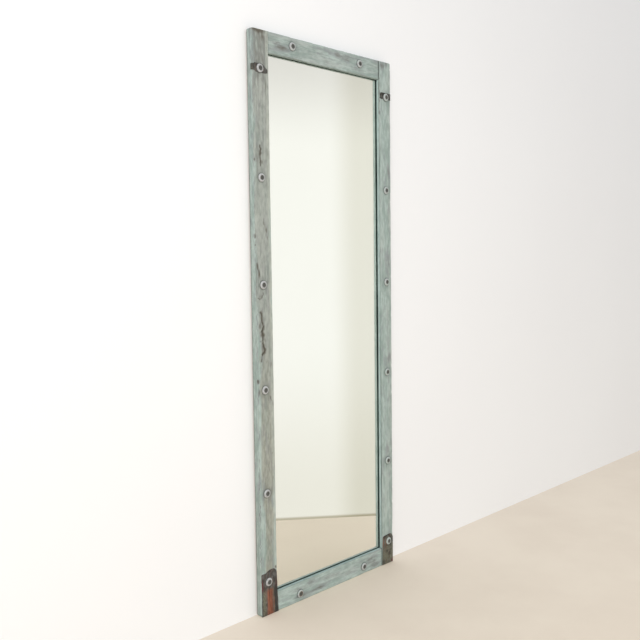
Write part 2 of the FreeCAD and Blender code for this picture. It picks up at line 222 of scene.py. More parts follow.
class Finish(Recipe):
    """New material around a Principled shader, with constants set on the shader's own sockets."""

    def __init__(self, name, **constants):
        self.material = bpy.data.materials.new(name)
        self.material.use_nodes = True
        super().__init__(self.material.node_tree)
        self.shader = self.tree.nodes["Principled BSDF"]
        for key, value in constants.items():
            self.shader.inputs[key.replace("_", " ")].default_value = value

    def feed(self, **values):
        """Links values to the shader's sockets, whose names have underscores here for spaces."""
        for key, value in values.items():
            self.tree.links.new(value, self.shader.inputs[key.replace("_", " ")])

    def relief(self, height, distance):
        """Bump from a height, at a real depth in metres."""
        bump = self.node("Bump", {"Height": height, "Distance": distance})
        self.tree.links.new(bump.outputs["Normal"], self.shader.inputs["Normal"])

    def show(self, seen, surface):
        """Lets the surface be seen by some rays only, and all others straight through."""
        clear = self.node("BsdfTransparent", {}).outputs[0]
        mixed = self.node("MixShader", {0: seen, 1: clear, 2: surface})
        self.tree.links.new(mixed.outputs[0], self.tree.nodes["Material Output"].inputs["Surface"])


def effect(name, inputs, outputs):
    """New group of shader nodes with named sockets: its recipe, what comes in and where the results go."""
    group = bpy.data.node_groups.new(name, "ShaderNodeTree")
    for label, kind in inputs.items():
        group.interface.new_socket(label, in_out="INPUT", socket_type="NodeSocket" + kind)
    for label in outputs:
        group.interface.new_socket(label, in_out="OUTPUT", socket_type="NodeSocketFloat")
    coming, going = group.nodes.new("NodeGroupInput"), group.nodes.new("NodeGroupOutput")
    return Recipe(group), coming.outputs, going.inputs


# Lengthwise grain: streaks, broad clouds, short fibres and blotches, for anything sawn or rolled one way
grain, grain_in, grain_out = effect(
    "lengthwise_grain",
    {"Place": "Vector", "Length": "Float", "Width": "Float"},
    ["Streaks", "Clouds", "Fibres", "Blotches"],
)
grain_kinds = {
    "Streaks": (1.0, 1.0, 5.0),
    "Clouds": (1.4, 9.0, 4.0),
    "Fibres": (0.2, 0.4, 3.0),
    "Blotches": (0.26, 4.0, 4.0),
}
for label, (longer, wider, detail) in grain_kinds.items():
    size = {0: grain.times(grain_in["Length"], longer), 1: grain.times(grain_in["Width"], wider), 2: 1.0}
    cells = grain.node("CombineXYZ", size).outputs[0]
    grain.tree.links.new(grain.mottle(grain_in["Place"], cells, detail), grain_out[label])

# Specks: small round spots of a given size that cover a given share of the surface
specks, specks_in, specks_out = effect(
    "scattered_specks", {"Place": "Vector", "Size": "Float", "Share": "Float"}, ["Specks"]
)
speck_cells = specks.node("CombineXYZ", {0: specks_in["Size"], 1: specks_in["Size"], 2: specks_in["Size"]})
speck_noise = specks.mottle(specks_in["Place"], speck_cells.outputs[0], 2.0)
speck_edge = specks.sums("SUBTRACT", 0.8, specks_in["Share"])
speck_mask = specks.between(speck_noise, speck_edge, specks.plus(speck_edge, 0.06))
specks.tree.links.new(speck_mask, specks_out["Specks"])

# Ragged mask: a soft mask whose edge is moved about by a noise, so that colours run into each other
ragged, ragged_in, ragged_out = effect(
    "ragged_mask", {"Mask": "Float", "Noise": "Float", "Depth": "Float", "Softness": "Float"}, ["Ragged"]
)
ragged_shift = ragged.times(ragged.sums("SUBTRACT", ragged_in["Noise"], 0.5), ragged_in["Depth"])
ragged_half = ragged.times(ragged_in["Softness"], 0.5)
ragged_low = ragged.sums("SUBTRACT", 0.5, ragged_half)
ragged_high = ragged.plus(0.5, ragged_half)
ragged_mask = ragged.between(ragged.plus(ragged_in["Mask"], ragged_shift), ragged_low, ragged_high)
ragged.tree.links.new(ragged_mask, ragged_out["Ragged"])

paint = Finish("worn_sea_green_paint", Specular_IOR_Level=0.3)
paint_place = paint.reading("board_place", "Vector")
streaks, clouds, fibres, blotches = paint.shared(grain.tree, Place=paint_place, Length=0.10, Width=0.0024)
flecks, = paint.shared(specks.tree, Place=paint_place, Size=0.0026, Share=0.13)
smudges = paint.mottle(paint_place, (0.05, 0.014, 1.0), 5.0, 0.62)
broad_tone = paint.plus(paint.times(blotches, 0.38), paint.times(clouds, 0.32))
tone = paint.between(paint.plus(broad_tone, paint.times(streaks, 0.3)), 0.40, 0.60)
sea_green = paint.blend(tone, shade(149, 165, 157), shade(183, 198, 191))
stain_mask = paint.reading("stain")
soiled = paint.plus(smudges, paint.times(stain_mask, 0.5))
soiled = paint.times(paint.between(soiled, 0.51, 0.70), 0.8)
sea_green = paint.blend(soiled, sea_green, shade(150, 156, 156))
cool_grey = paint.blend(tone, shade(137, 143, 138), shade(174, 180, 174))
olive_grey = paint.blend(tone, shade(139, 140, 125), shade(173, 173, 157))
greyed = paint.blend(paint.reading("olive"), cool_grey, olive_grey)
smudged = paint.plus(smudges, paint.times(stain_mask, 0.22))
smudged = paint.times(paint.between(smudged, 0.51, 0.65), 0.45)
greyed = paint.blend(smudged, greyed, shade(144, 145, 143))
bare, = paint.shared(ragged.tree, Mask=paint.reading("bare"), Noise=clouds, Depth=1.7, Softness=1.1)
surface = paint.blend(bare, sea_green, greyed)
fresh_green = paint.blend(tone, shade(177, 200, 194), shade(206, 227, 222))
surface = paint.blend(paint.reading("fresh"), surface, fresh_green)
stain, = paint.shared(ragged.tree, Mask=stain_mask, Noise=smudges, Depth=2.0, Softness=1.0)
stain = paint.times(stain, paint.between(stain_mask, 0.1, 0.45))
surface = paint.blend(stain, surface, shade(102, 98, 87))
# Dirt and painted shade: dirt in the joints, streaks and round the cups; painted shade down the reveal, along
# the back edge and round each cup's foot; a dark line along the inner arris
dirt = paint.times(paint.reading("dirt"), paint.plus(clouds, 0.45))
surface = paint.blend(dirt, surface, shade(68, 75, 70))
rub = paint.times(paint.reading("rubbed"), paint.between(fibres, 0.40, 0.60))
surface = paint.blend(rub, surface, shade(190, 196, 186))
surface = paint.blend(paint.times(flecks, 0.5), surface, shade(106, 110, 103))
# Dirt and painted shade in the cracks, darker where they are deeper
surface = paint.blend(paint.reading("crack"), surface, shade(82, 79, 69))
# The rebate is painted dark, and the same colour stands in for the shade in the gap at the glass's edge
rebate_run = paint.between(paint.mottle(paint_place, (0.20, 0.05, 1.0), 2.0), 0.38, 0.62)
rebate_tone = paint.blend(rebate_run, shade(48, 66, 60), shade(102, 132, 123))
surface = paint.blend(paint.reading("rebate"), surface, rebate_tone)
softwood = paint.blend(paint.between(streaks, 0.3, 0.7), shade(118, 92, 64), shade(166, 136, 100))
surface = paint.blend(paint.reading("unpainted"), surface, softwood)
paint_rough = paint.plus(paint.times(streaks, 0.25), paint.plus(0.5, paint.times(bare, 0.12)))
paint.feed(Base_Color=surface, Roughness=paint_rough)
paint_height = paint.plus(streaks, paint.times(fibres, 0.35))
paint.relief(paint.sums("SUBTRACT", paint_height, paint.times(flecks, 0.3)), 0.0005)

end_paint = Finish("painted_end_grain", Roughness=0.75, Specular_IOR_Level=0.3)
end_place = end_paint.place()
end_cloud = end_paint.mottle(end_place, (0.012, 0.006, 0.012), 5.0)
end_pores, = end_paint.shared(specks.tree, Place=end_place, Size=0.0011, Share=0.26)
end_wear = end_paint.between(end_cloud, 0.38, 0.62)
end_tone = end_paint.blend(end_wear, shade(128, 134, 122), shade(170, 184, 175))
end_tone = end_paint.blend(end_paint.times(end_pores, 0.6), end_tone, shade(96, 90, 76))
end_paint.feed(Base_Color=end_tone)
end_paint.relief(end_pores, 0.0003)

crease_angle = np.radians(38)


def near_line(along, across, line, width):
    """1 on a crooked line and a bell curve of the distance to its nearest run beside it."""
    nearest = np.full(along.shape, np.inf)
    for (a0, b0), (a1, b1) in zip(line, line[1:]):
        da, db = a1 - a0, b1 - b0
        t = np.clip(((along - a0) * da + (across - b0) * db) / (da * da + db * db), 0, 1)
        nearest = np.minimum(nearest, np.hypot(along - a0 - t * da, across - b0 - t * db))
    return bell(nearest, width)


def blots(along, across, places):
    """Sum of soft spots: each is its strength times a bell curve with its own length and width."""
    total = np.zeros(along.shape)
    for a, b, length, width, strength in places:
        total += strength * bell(along - a, length) * bell(across - b, width)
    return np.clip(total, 0, 1)


def spots(name):
    """Lowest and highest point of each solid in a node of like pieces: the node's points in order along its
    longest side, parted wherever the next point is more than a cup's radius further on."""
    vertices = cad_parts[name].data.vertices
    points = np.empty(len(vertices) * 3)
    vertices.foreach_get("co", points)
    points = points.reshape(-1, 3)
    axis = np.ptp(points, axis=0).argmax()
    points = points[points[:, axis].argsort()]
    cuts = np.flatnonzero(np.diff(points[:, axis]) > cup_radius) + 1
    return [(part.min(0), part.max(0)) for part in np.split(points, cuts)]


def loops_mesh(name, shells, ring=False):
    """Mesh of closed loops carried along paths: in each shell a row is one loop, four-sided faces join it to
    the next row, and the ends are capped, or joined to each other in a ring."""
    faces = []
    first = 0
    for shell in shells:
        rows, count = shell.shape[:2]
        index = first + np.arange(rows * count).reshape(rows, count)
        lower = index if ring else index[:-1]
        upper = np.roll(index, -1, axis=0) if ring else index[1:]
        quads = np.stack([lower, np.roll(lower, -1, 1), np.roll(upper, -1, 1), upper], -1)
        faces += quads.reshape(-1, 4).tolist()
        if not ring:
            faces += [index[0][::-1].tolist(), index[-1].tolist()]
        first += rows * count
    mesh = bpy.data.meshes.new(name)
    mesh.from_pydata(np.concatenate([shell.reshape(-1, 3) for shell in shells]), [], faces)
    skin = bmesh.new()
    skin.from_mesh(mesh)
    bmesh.ops.recalc_face_normals(skin, faces=skin.faces)
    skin.to_mesh(mesh)
    skin.free()
    mesh.shade_smooth()
    mesh.set_sharp_from_angle(angle=crease_angle)
    return mesh


def give(mesh, **masks):
    """Keeps one number, or one vector, for each vertex under a name that the material reads."""
    for name, values in masks.items():
        vector = values.size == 3 * len(mesh.vertices)
        made = mesh.attributes.new(name, "FLOAT_VECTOR" if vector else "FLOAT", "POINT")
        flat = np.ascontiguousarray(values, np.float32).ravel()
        made.data.foreach_set("vector" if vector else "value", flat)


def place_piece(mesh, name, slot, replaced, *finishes):
    """Puts a mesh into the scene as a piece that rides on the frame and stands for a node."""
    piece = bpy.data.objects.new(name, mesh)
    bpy.context.scene.collection.objects.link(piece)
    for finish in finishes:
        mesh.materials.append(finish.material)
    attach(piece, "root")
    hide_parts(replaced)


def stopped(u, s, width, opening):
    """Places across a board behind its lip, with both rebates closed to a hairline beyond the opening and
    the corners that the rebates take. Each stretch of the section is stretched or shrunk in proportion."""
    past = np.maximum(opening[0] - s, s - opening[1])
    glass_now = glass_cut * np.where(past < glass_cut, 1, hairline_share)
    backing_now = backing_cut * np.where(past < backing_cut, 1, hairline_share)
    inner, rear = width - glass_cut, width - backing_cut
    lip_part = width - glass_now * (width - u) / glass_cut
    step_part = width - glass_now - (backing_now - glass_now) * (inner - u) / (inner - rear)
    back_part = rear_arris + (width - backing_now - rear_arris) * (u - rear_arris) / (rear - rear_arris)
    moved = np.where(u >= inner, lip_part, np.where(u >= rear, step_part, back_part))
    return np.where(u > rear_arris, moved, u)


def board_stations(length, opening):
    """Places along a board for its sections: evenly spaced, closer together in the rounded ends, and a pair
    at each wall where a rebate stops."""
    middle = np.arange(end_zone, length - end_zone, station_step)
    end = np.linspace(0, end_zone, end_sections)[:-1]
    stations = np.concatenate([end, middle, length - end[::-1]])
    for cut in (glass_cut, backing_cut):
        stops = np.array([opening[0] - cut, opening[1] + cut])
        stops = np.concatenate([stops - stop_wall, stops + stop_wall])
        stations = np.union1d(stations, stops[(stops > 0) & (stops < length)])
    return stations


def section_normals(section):
    """Outward direction at each point of a closed outline: square to the line between its two neighbours."""
    step = np.roll(section, -1, 0) - np.roll(section, 1, 0)
    outward = np.stack([step[:, 1], -step[:, 0]], -1)
    return outward / np.linalg.norm(outward, axis=1, keepdims=True)


# How deep use has gone into the boards and how far their cracks wander, in metres
outer_ease, outer_rub, outer_chip = 0.0002, 0.0011, 0.0022
inner_ease, inner_rub, inner_chip = 0.0001, 0.0005, 0.0012
wave_depth = 0.0002
grain_depth = 0.00008
black_crack_depth = 0.0011
crack_wander = 0.0013

# How many times as wide as its crack a smear is
smear_spread = 2.6


def arris_wear(s, q, width, seed):
    """How near a place is to the outer and the inner arris, as bell curves, and how far long stretches are
    rubbed: patches, where they rise above a tenth."""
    outer_edge = bell(q - 0.0005, 0.003)
    inner_edge = bell(q - width, 0.002)
    return outer_edge, inner_edge, np.clip(patches(s, q, 0.06, 0.02, seed) - 0.1, 0, None)


def worn_depth(s, q, outer_edge, inner_edge, long_wear, seed):
    """How far the surface stands back: rubbed stretches and chips at both arrises, and over all of it slow
    waves and fine grain."""
    chips = np.clip(patches(s, q, 0.014, 0.008, seed + 1) - 0.45, 0, None)
    depth = outer_edge * (outer_ease + outer_rub * long_wear + outer_chip * chips)
    depth += inner_edge * (inner_ease + inner_rub * long_wear + inner_chip * chips)
    depth += wave_depth * (1 + patches(s, q, 0.12, 0.03, seed + 2))
    return depth + grain_depth * (1 + patches(s, q, 0.25, 0.0024, seed + 3))


def cracked(s, q, cracks, seed):
    """Depth and darkness of a board's cracks, and the stain beside them: bell curves of the distance to lines
    that wander a little, with an uneven width. The deeper a crack is, the darker it is painted: dirt and
    painted shade in the crack."""
    depth, dark, smear = np.zeros((3, *s.shape))
    wander = crack_wander * patches(s, q, 0.006, 0.02, seed + 4)
    uneven = 1 + 0.6 * patches(s, q, 0.008, 0.012, seed + 6)
    for crack_width, crack_depth, line in cracks:
        here = near_line(s, q + wander, line, crack_width * uneven)
        beside = near_line(s, q + 2 * wander, line, smear_spread * crack_width * uneven)
        strength = min(1, crack_depth / black_crack_depth)
        depth += crack_depth * here
        dark = np.maximum(dark, strength * here)
        smear = np.maximum(smear, 0.75 * strength * beside)
    return depth, dark, smear


def board_dirt(s, q, v, length, width, dirty, rings, seed):
    """Share of darkening, the most of what lies: dirt in the joints at the two ends, a dark line on the inner
    arris, painted shade down the reveal, dirt in streaks on the outer side, painted shadow along the back
    edge where the frame meets the wall, and round each cup a ring of painted shadow at its foot and dirt
    round and under it, by the distance from its middle."""
    line_wear = 1 + 0.8 * patches(s, q, 0.11, 0.02, seed + 7)
    side_streaks = np.clip(patches(s, q, 0.30, 0.0024, seed + 8) - 0.3, 0, None)
    halo_wear = 1 + patches(s, q, 0.012, 0.012, seed + 5)
    shares = [
        dirty[0] * bell(s, 0.002),
        dirty[1] * bell(length - s, 0.004),
        dirty[2] * bell(q - width + 0.0004, 0.0016) * line_wear,
        # Painted shade down the reveal, most on the top rail's underside
        dirty[3] * smooth_step(q, width, width + 0.003),
        0.8 * side_streaks * smooth_step(q, 0.0005, -0.002),
        # Painted shadow along the back edge, where the frame meets the wall
        0.7 * smooth_step(v, board_depth - 0.004, board_depth - rear_arris),
    ]
    # Painted shadow in a ring round each cup's foot; the wider halo after it is dirt
    shares += [0.8 * bell(ring - cup_radius, 0.0022) for ring in rings]
    shares += [0.35 * bell(ring, 0.020) * halo_wear for ring in rings]
    return np.clip(np.maximum.reduce(shares), 0, 1)


def board(
    name, start, along, across, length, width, corner, end_arris, opening,
    wear, cracks, stains, dirty, seed,
):
    """Board swept along its length: the section's points stand at start + along*s + across*u + deep*v. Worn
    arrises, chips, cracks and a slight unevenness all move the surface inwards. How dark the first end, the
    last end, the inner arris and the reveal are is given in that order: dirt in the joints at the ends, a
    dark line along the inner arris, and painted shade down the reveal."""
    section, travelled = board_section(width)
    s, q = np.meshgrid(board_stations(length, opening), travelled, indexing="ij")
    u, v = (np.broadcast_to(places, s.shape).copy() for places in section.T)
    u = np.where(q > width + lip_depth, stopped(u, s, width, opening), u)
    to_end = np.minimum(s, length - s)
    u += rounded(to_end, corner) * (1 - u / width)
    v += rounded(to_end, end_arris) * (1 - v / board_depth)
    shown = smooth_step(board_depth - v, 0, 0.003) * (q < width + lip_depth)
    shown *= np.where(q > width, smooth_step(lip_depth - v, 0, 0.004), 1)

    outer_edge, inner_edge, long_wear = arris_wear(s, q, width, seed)
    crack_depth, crack, smear = cracked(s, q, cracks, seed)
    depth = shown * (worn_depth(s, q, outer_edge, inner_edge, long_wear, seed) + crack_depth)
    outward = section_normals(section)
    u -= depth * outward[:, 0]
    v -= depth * outward[:, 1]

    start, along, across = np.array(start), np.array(along), np.array(across)
    deep = np.array((0, 1, 0))
    points = start + s[..., None] * along + u[..., None] * across + v[..., None] * deep
    mesh = loops_mesh(name, [points])
    # The last two faces are the ends, which show end grain
    for cap in mesh.polygons[-2:]:
        cap.material_index = 1
    centres = [(low + high) / 2 - start for low, high in spots(f"{name}_screw_cups")]
    rings = [np.hypot(s - centre @ along, q - centre @ across) for centre in centres]
    bare, olive, fresh, pale = wear(s, q)
    # The dark rebate colour starts 2 mm up the reveal: painted shade where the reveal meets the glass
    lip_end = width + lip_depth - 2 * fine_step
    rebate_end = width + glass_cut + step_depth
    rubbed = pale * (q < rebate_end) + outer_edge * (0.05 + 0.7 * long_wear)
    rubbed += inner_edge * (0.1 + long_wear) * (1 - dirty[2])
    give(
        mesh,
        board_place=np.stack([s, q, np.full(s.shape, grain_shift * seed)], -1),
        bare=bare,
        olive=olive,
        fresh=np.clip(np.maximum(fresh, 0.9 * smooth_step(q, width, width + 0.0015)), 0, 1),
        stain=np.maximum(blots(s, q, stains), smear) * shown,
        crack=crack * shown,
        dirt=board_dirt(s, q, v, length, width, dirty, rings, seed),
        rubbed=np.clip(rubbed, 0, 1),
        rebate=(q > lip_end) * (q < rebate_end) * 1.0,
        unpainted=(q >= rebate_end) * (u > 1.5 * rear_arris) * 1.0,
    )
    place_piece(mesh, f"{name}_board", "painted_wood", name, paint, end_paint)


def left_wear(s, q):
    """Grey down the face beyond a wandering line, with sea-green paint left along the outer edge and, near
    the foot, along the inner one. The inner edge, a broad patch above the middle and one short line near the
    head are rubbed pale. Like the other boards, it gives the shares of bare, olive, fresh and pale."""
    levels = [0.10, 0.40, 0.50, 0.90, 1.00, 1.30, 1.40, 1.80]
    near_side = np.interp(s, levels, [0.020, 0.018, 0.011, 0.010, 0.001, 0.001, 0.003, 0.006])
    far_side = np.interp(s, levels, [0.055, 0.056, 0.070, 0.070, 0.062, 0.066, 0.070, 0.070])
    wander = q + 0.007 * patches(s, q, 0.045, 0.010, 93)
    bare = smooth_step(wander, near_side - 0.008, near_side + 0.009)
    bare *= 1 - smooth_step(wander, far_side - 0.009, far_side + 0.008)
    olive = np.interp(s, [0.0, 0.7, 1.0, 1.2, 1.8], [0.85, 0.55, 0.2, 0.25, 0.25])
    olive = np.maximum(olive, 0.6 * smooth_step(q, 0.045, 0.060))
    pale = 0.85 * smooth_step(q, 0.050, 0.060)
    pale = np.maximum(pale, 0.4 * bell(s - 1.27, 0.10) * (q > 0))
    pale = np.maximum(pale, near_line(s, q, [(1.650, 0.016), (1.627, 0.020)], 0.0016))
    return 0.95 * bare * (q > 0), olive, 0 * s, pale


def right_wear(s, q):
    """Mostly paint, rubbed a little towards the outer edge."""
    return 0.28 * smooth_step(q, 0.034, 0.010) * (q > 0) + 0.1, np.full(s.shape, 0.2), 0 * s, 0 * s


def top_wear(s, q):
    """Paint with grey patches, more of them near the left end."""
    bare = 0.34 + 0.12 * bell(s, 0.16) + 0.24 * patches(s, q, 0.07, 0.022, 91) * (q > 0)
    return bare, 0 * s, 0 * s, 0 * s


def bottom_wear(s, q):
    """Paint with fewer grey patches, a little fresher than on the other boards."""
    bare = 0.26 + 0.22 * patches(s, q, 0.07, 0.022, 92) * (q > 0)
    return bare, 0 * s, 0.15 + 0 * s, 0 * s


# Each crack has its width, its depth and the places, along and across the board, that it runs through
left_cracks = [
    (0.0016, 0.0014, [(1.457, 0.0263), (1.443, 0.0280), (1.427, 0.0257), (1.410, 0.0270), (1.397, 0.0280)]),
    (0.0017, 0.0011, [(0.953, 0.0180), (0.943, 0.0207), (0.927, 0.0223), (0.913, 0.0257), (0.910, 0.0283)]),
    (0.0030, 0.0022, [(0.910, 0.0283), (0.897, 0.0233), (0.885, 0.0255), (0.878, 0.0267), (0.867, 0.0250)]),
    (0.0020, 0.0016, [(0.867, 0.0250), (0.850, 0.0273), (0.838, 0.0340), (0.830, 0.0300), (0.823, 0.0217)]),
    (0.0016, 0.0009, [(0.823, 0.0217), (0.810, 0.0193), (0.803, 0.0167)]),
    (0.0012, 0.0005, [(1.238, 0.0357), (1.220, 0.0357)]),
    (0.0012, 0.0006, [(1.013, 0.0295), (1.000, 0.0260), (0.993, 0.0157), (0.998, 0.0073)]),
    (0.0012, 0.0006, [(0.692, 0.0500), (0.676, 0.0560), (0.662, 0.0617)]),
    (0.0012, 0.0006, [(1.103, 0.0057), (1.085, 0.0100), (1.063, 0.0170)]),
    (0.0010, 0.0002, [(0.645, 0.0300), (0.648, 0.0440), (0.644, 0.0570)]),
    (0.0008, 0.0005, [(0.500, 0.0004), (0.300, 0.0010), (0.110, 0.0004)]),
    (0.0008, 0.0004, [(1.785, 0.0020), (1.400, 0.0012), (1.000, 0.0022), (0.560, 0.0010)]),
    (0.0020, 0.0009, [(1.187, 0.0005), (1.179, 0.0015)]),
    (0.0020, 0.0009, [(0.747, 0.0010), (0.739, 0.0025)]),
    (0.0018, 0.0010, [(0.150, 0.0615), (0.145, 0.0600)]),
]
# Each stain has its place along and across the board, its length and width, and its strength
left_stains = [
    (1.740, 0.030, 0.210, 0.050, 0.36),
    (0.430, 0.036, 0.120, 0.035, 0.32),
    (1.795, 0.034, 0.006, 0.016, 0.8),
    (1.797, 0.010, 0.005, 0.014, 0.5),
    (1.780, 0.043, 0.012, 0.006, 0.6),
    (1.637, 0.054, 0.014, 0.004, 0.5),
    (1.430, 0.016, 0.030, 0.010, 0.45),
    (1.407, 0.033, 0.010, 0.005, 0.6),
    (1.413, 0.003, 0.004, 0.003, 0.7),
    (1.218, 0.040, 0.010, 0.005, 0.42),
    (1.202, 0.046, 0.010, 0.005, 0.55),
    (1.178, 0.050, 0.010, 0.004, 0.48),
    (1.183, 0.001, 0.006, 0.003, 1.0),
    (1.158, 0.001, 0.004, 0.003, 0.8),
    (1.095, 0.008, 0.012, 0.004, 0.9),
    (1.070, 0.015, 0.014, 0.004, 0.9),
    (1.000, 0.020, 0.012, 0.010, 0.45),
    (0.935, 0.022, 0.032, 0.008, 0.5),
    (0.910, 0.014, 0.010, 0.004, 0.6),
    (0.884, 0.025, 0.007, 0.009, 1.0),
    (0.850, 0.026, 0.040, 0.009, 0.5),
    (0.788, 0.057, 0.013, 0.005, 0.6),
    (0.743, 0.002, 0.006, 0.005, 1.0),
    (0.708, 0.006, 0.013, 0.006, 0.55),
    (0.513, 0.057, 0.004, 0.003, 0.7),
    (0.147, 0.062, 0.004, 0.003, 1.0),
]
right_stains = [
    (1.793, 0.026, 0.024, 0.030, 0.32),
    (1.786, 0.045, 0.012, 0.012, 0.30),
    (1.420, 0.016, 0.050, 0.020, 0.32),
    (1.095, 0.016, 0.045, 0.020, 0.32),
    (0.755, 0.018, 0.030, 0.018, 0.32),
    (0.425, 0.016, 0.030, 0.018, 0.32),
]
top_stains = [
    (0.032, 0.027, 0.024, 0.012, 0.40),
    (0.060, 0.041, 0.036, 0.014, 0.40),
    (0.229, 0.012, 0.036, 0.010, 0.22),
    (0.267, 0.022, 0.016, 0.010, 0.22),
    (0.302, 0.016, 0.014, 0.008, 0.36),
    (0.355, 0.021, 0.045, 0.014, 0.44),
    (0.386, 0.045, 0.028, 0.010, 0.26),
    (0.500, 0.006, 0.045, 0.008, 0.22),
]
bottom_stains = [
    (0.084, 0.045, 0.022, 0.010, 0.35),
    (0.096, 0.014, 0.036, 0.012, 0.36),
    (0.147, 0.051, 0.026, 0.010, 0.35),
    (0.180, 0.018, 0.050, 0.014, 0.40),
    (0.250, 0.040, 0.045, 0.014, 0.36),
    (0.334, 0.028, 0.028, 0.014, 0.32),
    (0.454, 0.040, 0.042, 0.016, 0.44),
    (0.470, 0.014, 0.042, 0.012, 0.36),
]
height = stile_high.z
front = stile_low.y
stile_width = stile_high.x - stile_low.x
right_width = right_high.x - right_low.x
right_crack_line = right_width - 0.0008
right_cracks = [(0.0020, 0.0006, [(1.740, right_crack_line), (1.620, right_crack_line)])]
rail_length = right_low.x - stile_high.x
top_width = top_rail_high.z - top_rail_low.z
bottom_width = bottom_rail_high.z - bottom_rail_low.z
up, rightwards, leftwards, down = (0, 0, 1), (1, 0, 0), (-1, 0, 0), (0, 0, -1)
# How dark each board's first end, last end, inner arris and reveal are: dirt in the joints, a dark line on
# the arris, painted shade down the reveal
left_dirt = (0, 0, 0.1, 0)
right_dirt = (0, 0, 0.75, 0)
top_dirt = (0.35, 1.0, 0.3, 0.15)
bottom_dirt = (0.35, 1.0, 0.3, 0.1)
stile_opening = (bottom_width, height - top_width)
rail_opening = (0, rail_length)
board(
    "left_stile", (stile_low.x, front, 0), up, rightwards, height, stile_width, left_corner, outer_arris,
    stile_opening, left_wear, left_cracks, left_stains, left_dirt, 3,
)
board(
    "right_stile", (right_high.x, front, 0), up, leftwards, height, right_width, right_corner, outer_arris,
    stile_opening, right_wear, right_cracks, right_stains, right_dirt, 17,
)
board(
    "top_rail", (stile_high.x, front, height), rightwards, down, rail_length, top_width, 0, seam_ease,
    rail_opening, top_wear, [], top_stains, top_dirt, 29,
)
board(
    "bottom_rail", (stile_high.x, front, 0), rightwards, up, rail_length, bottom_width, 0, seam_ease,
    rail_opening, bottom_wear, [], bottom_stains, bottom_dirt, 41,
)

# Mirror glass
# One flat sheet of 6 mm float glass with seamed edges, laid into the rebate from behind on two blocks.
# Its back is silvered, so the room shows from just inside the back face, past the clear glass.
glass_seam = 0.0008
silver_gap = 0.00005
silver_thickness = 0.00005


def sheet_loops(low, high, levels):
    """Four-cornered rings from front to back: each is the outline drawn in by an inset, at a depth."""
    corners = np.array([(0, 0), (1, 0), (1, 1), (0, 1)])
    rings = []
    for depth, inset in levels:
        x = np.where(corners[:, 0], high.x - inset, low.x + inset)
        z = np.where(corners[:, 1], high.z - inset, low.z + inset)
        rings.append(np.stack([x, np.full(4, depth), z], -1))
    return np.array(rings)


clear_glass = Finish(
    "clear_float_glass", Transmission_Weight=1.0, IOR=1.52, Base_Color=(0.978, 0.985, 0.975, 1)
)
glass_film = clear_glass.mottle(clear_glass.place(), (0.12, 0.12, 0.30), 5.0)
clear_glass.feed(Roughness=clear_glass.times(clear_glass.between(glass_film, 0.55, 0.8), 0.05))
glass_levels = [
    (glass_low.y, glass_seam),
    (glass_low.y + glass_seam, 0),
    (glass_high.y - glass_seam, 0),
    (glass_high.y, glass_seam),
]
glass_mesh = loops_mesh("mirror_glass_sheet", [sheet_loops(glass_low, glass_high, glass_levels)])
place_piece(glass_mesh, "mirror_glass_sheet", "mirror", "mirror_glass", clear_glass)

silvering = Finish("silvering", Metallic=1.0)
silver_cloud = silvering.mottle(silvering.place(), (0.25, 0.25, 0.5), 4.0)
silver_tone = silvering.blend(silver_cloud, (0.965, 0.965, 0.92, 1), (0.995, 0.995, 0.95, 1))
silver_rough = silvering.times(silvering.between(silver_cloud, 0.4, 0.9), 0.03)
silvering.feed(Base_Color=silver_tone, Roughness=silver_rough)
silver_back = glass_high.y - silver_gap
silver_levels = [(silver_back - silver_thickness, 2 * glass_seam), (silver_back, 2 * glass_seam)]
silver_mesh = loops_mesh("mirror_silver", [sheet_loops(glass_low, glass_high, silver_levels)])
place_piece(silver_mesh, "mirror_silver", "mirror", "mirror_glass", silvering)

# Setting blocks and wall bumpers
# Black rubber: two strips under the glass in the bottom rebate, and two round pads low on the back.
# The pads are as thick as the hangers stand proud, so that the frame hangs level with the wall.


def dress(finish, *names):
    """Gives CAD nodes a finish and leaves their shapes alone."""
    for name in names:
        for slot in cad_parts[name].material_slots:
            slot.material = finish.material


rubber = Finish("black_rubber", Specular_IOR_Level=0.4)
rubber_place = rubber.place()
rubber_dust = rubber.mottle(rubber_place, (0.006, 0.006, 0.006), 5.0)
rubber_specks, = rubber.shared(specks.tree, Place=rubber_place, Size=0.0012, Share=0.2)
rubber_tone = rubber.blend(rubber.between(rubber_dust, 0.4, 0.75), shade(30, 30, 30), shade(62, 61, 58))
rubber_tone = rubber.blend(rubber.times(rubber_specks, 0.5), rubber_tone, shade(88, 86, 82))
rubber.feed(Base_Color=rubber_tone, Roughness=rubber.between(rubber_dust, -0.6, 0.9))
rubber.relief(rubber_dust, 0.0002)
dress(rubber, "setting_blocks", "left_wall_bumper", "right_wall_bumper")

# Packing sheet
# A thin sheet of white closed-cell foam, laid on the silvered back before the backing board goes on.
# It is pressed flat, and only its edges could ever be seen.
foam = Finish("closed_cell_foam", Roughness=0.9)
foam_place = foam.place()
foam_cells, = foam.shared(specks.tree, Place=foam_place, Size=0.0008, Share=0.3)
foam_cloud = foam.mottle(foam_place, (0.03, 0.03, 0.03))
foam_tone = foam.blend(foam_cloud, shade(226, 226, 220), shade(244, 244, 240))
foam_tone = foam.blend(foam.times(foam_cells, 0.3), foam_tone, shade(196, 196, 190))
foam.feed(Base_Color=foam_tone)
foam.relief(foam_cells, 0.0003)
dress(foam, "packing_sheet")

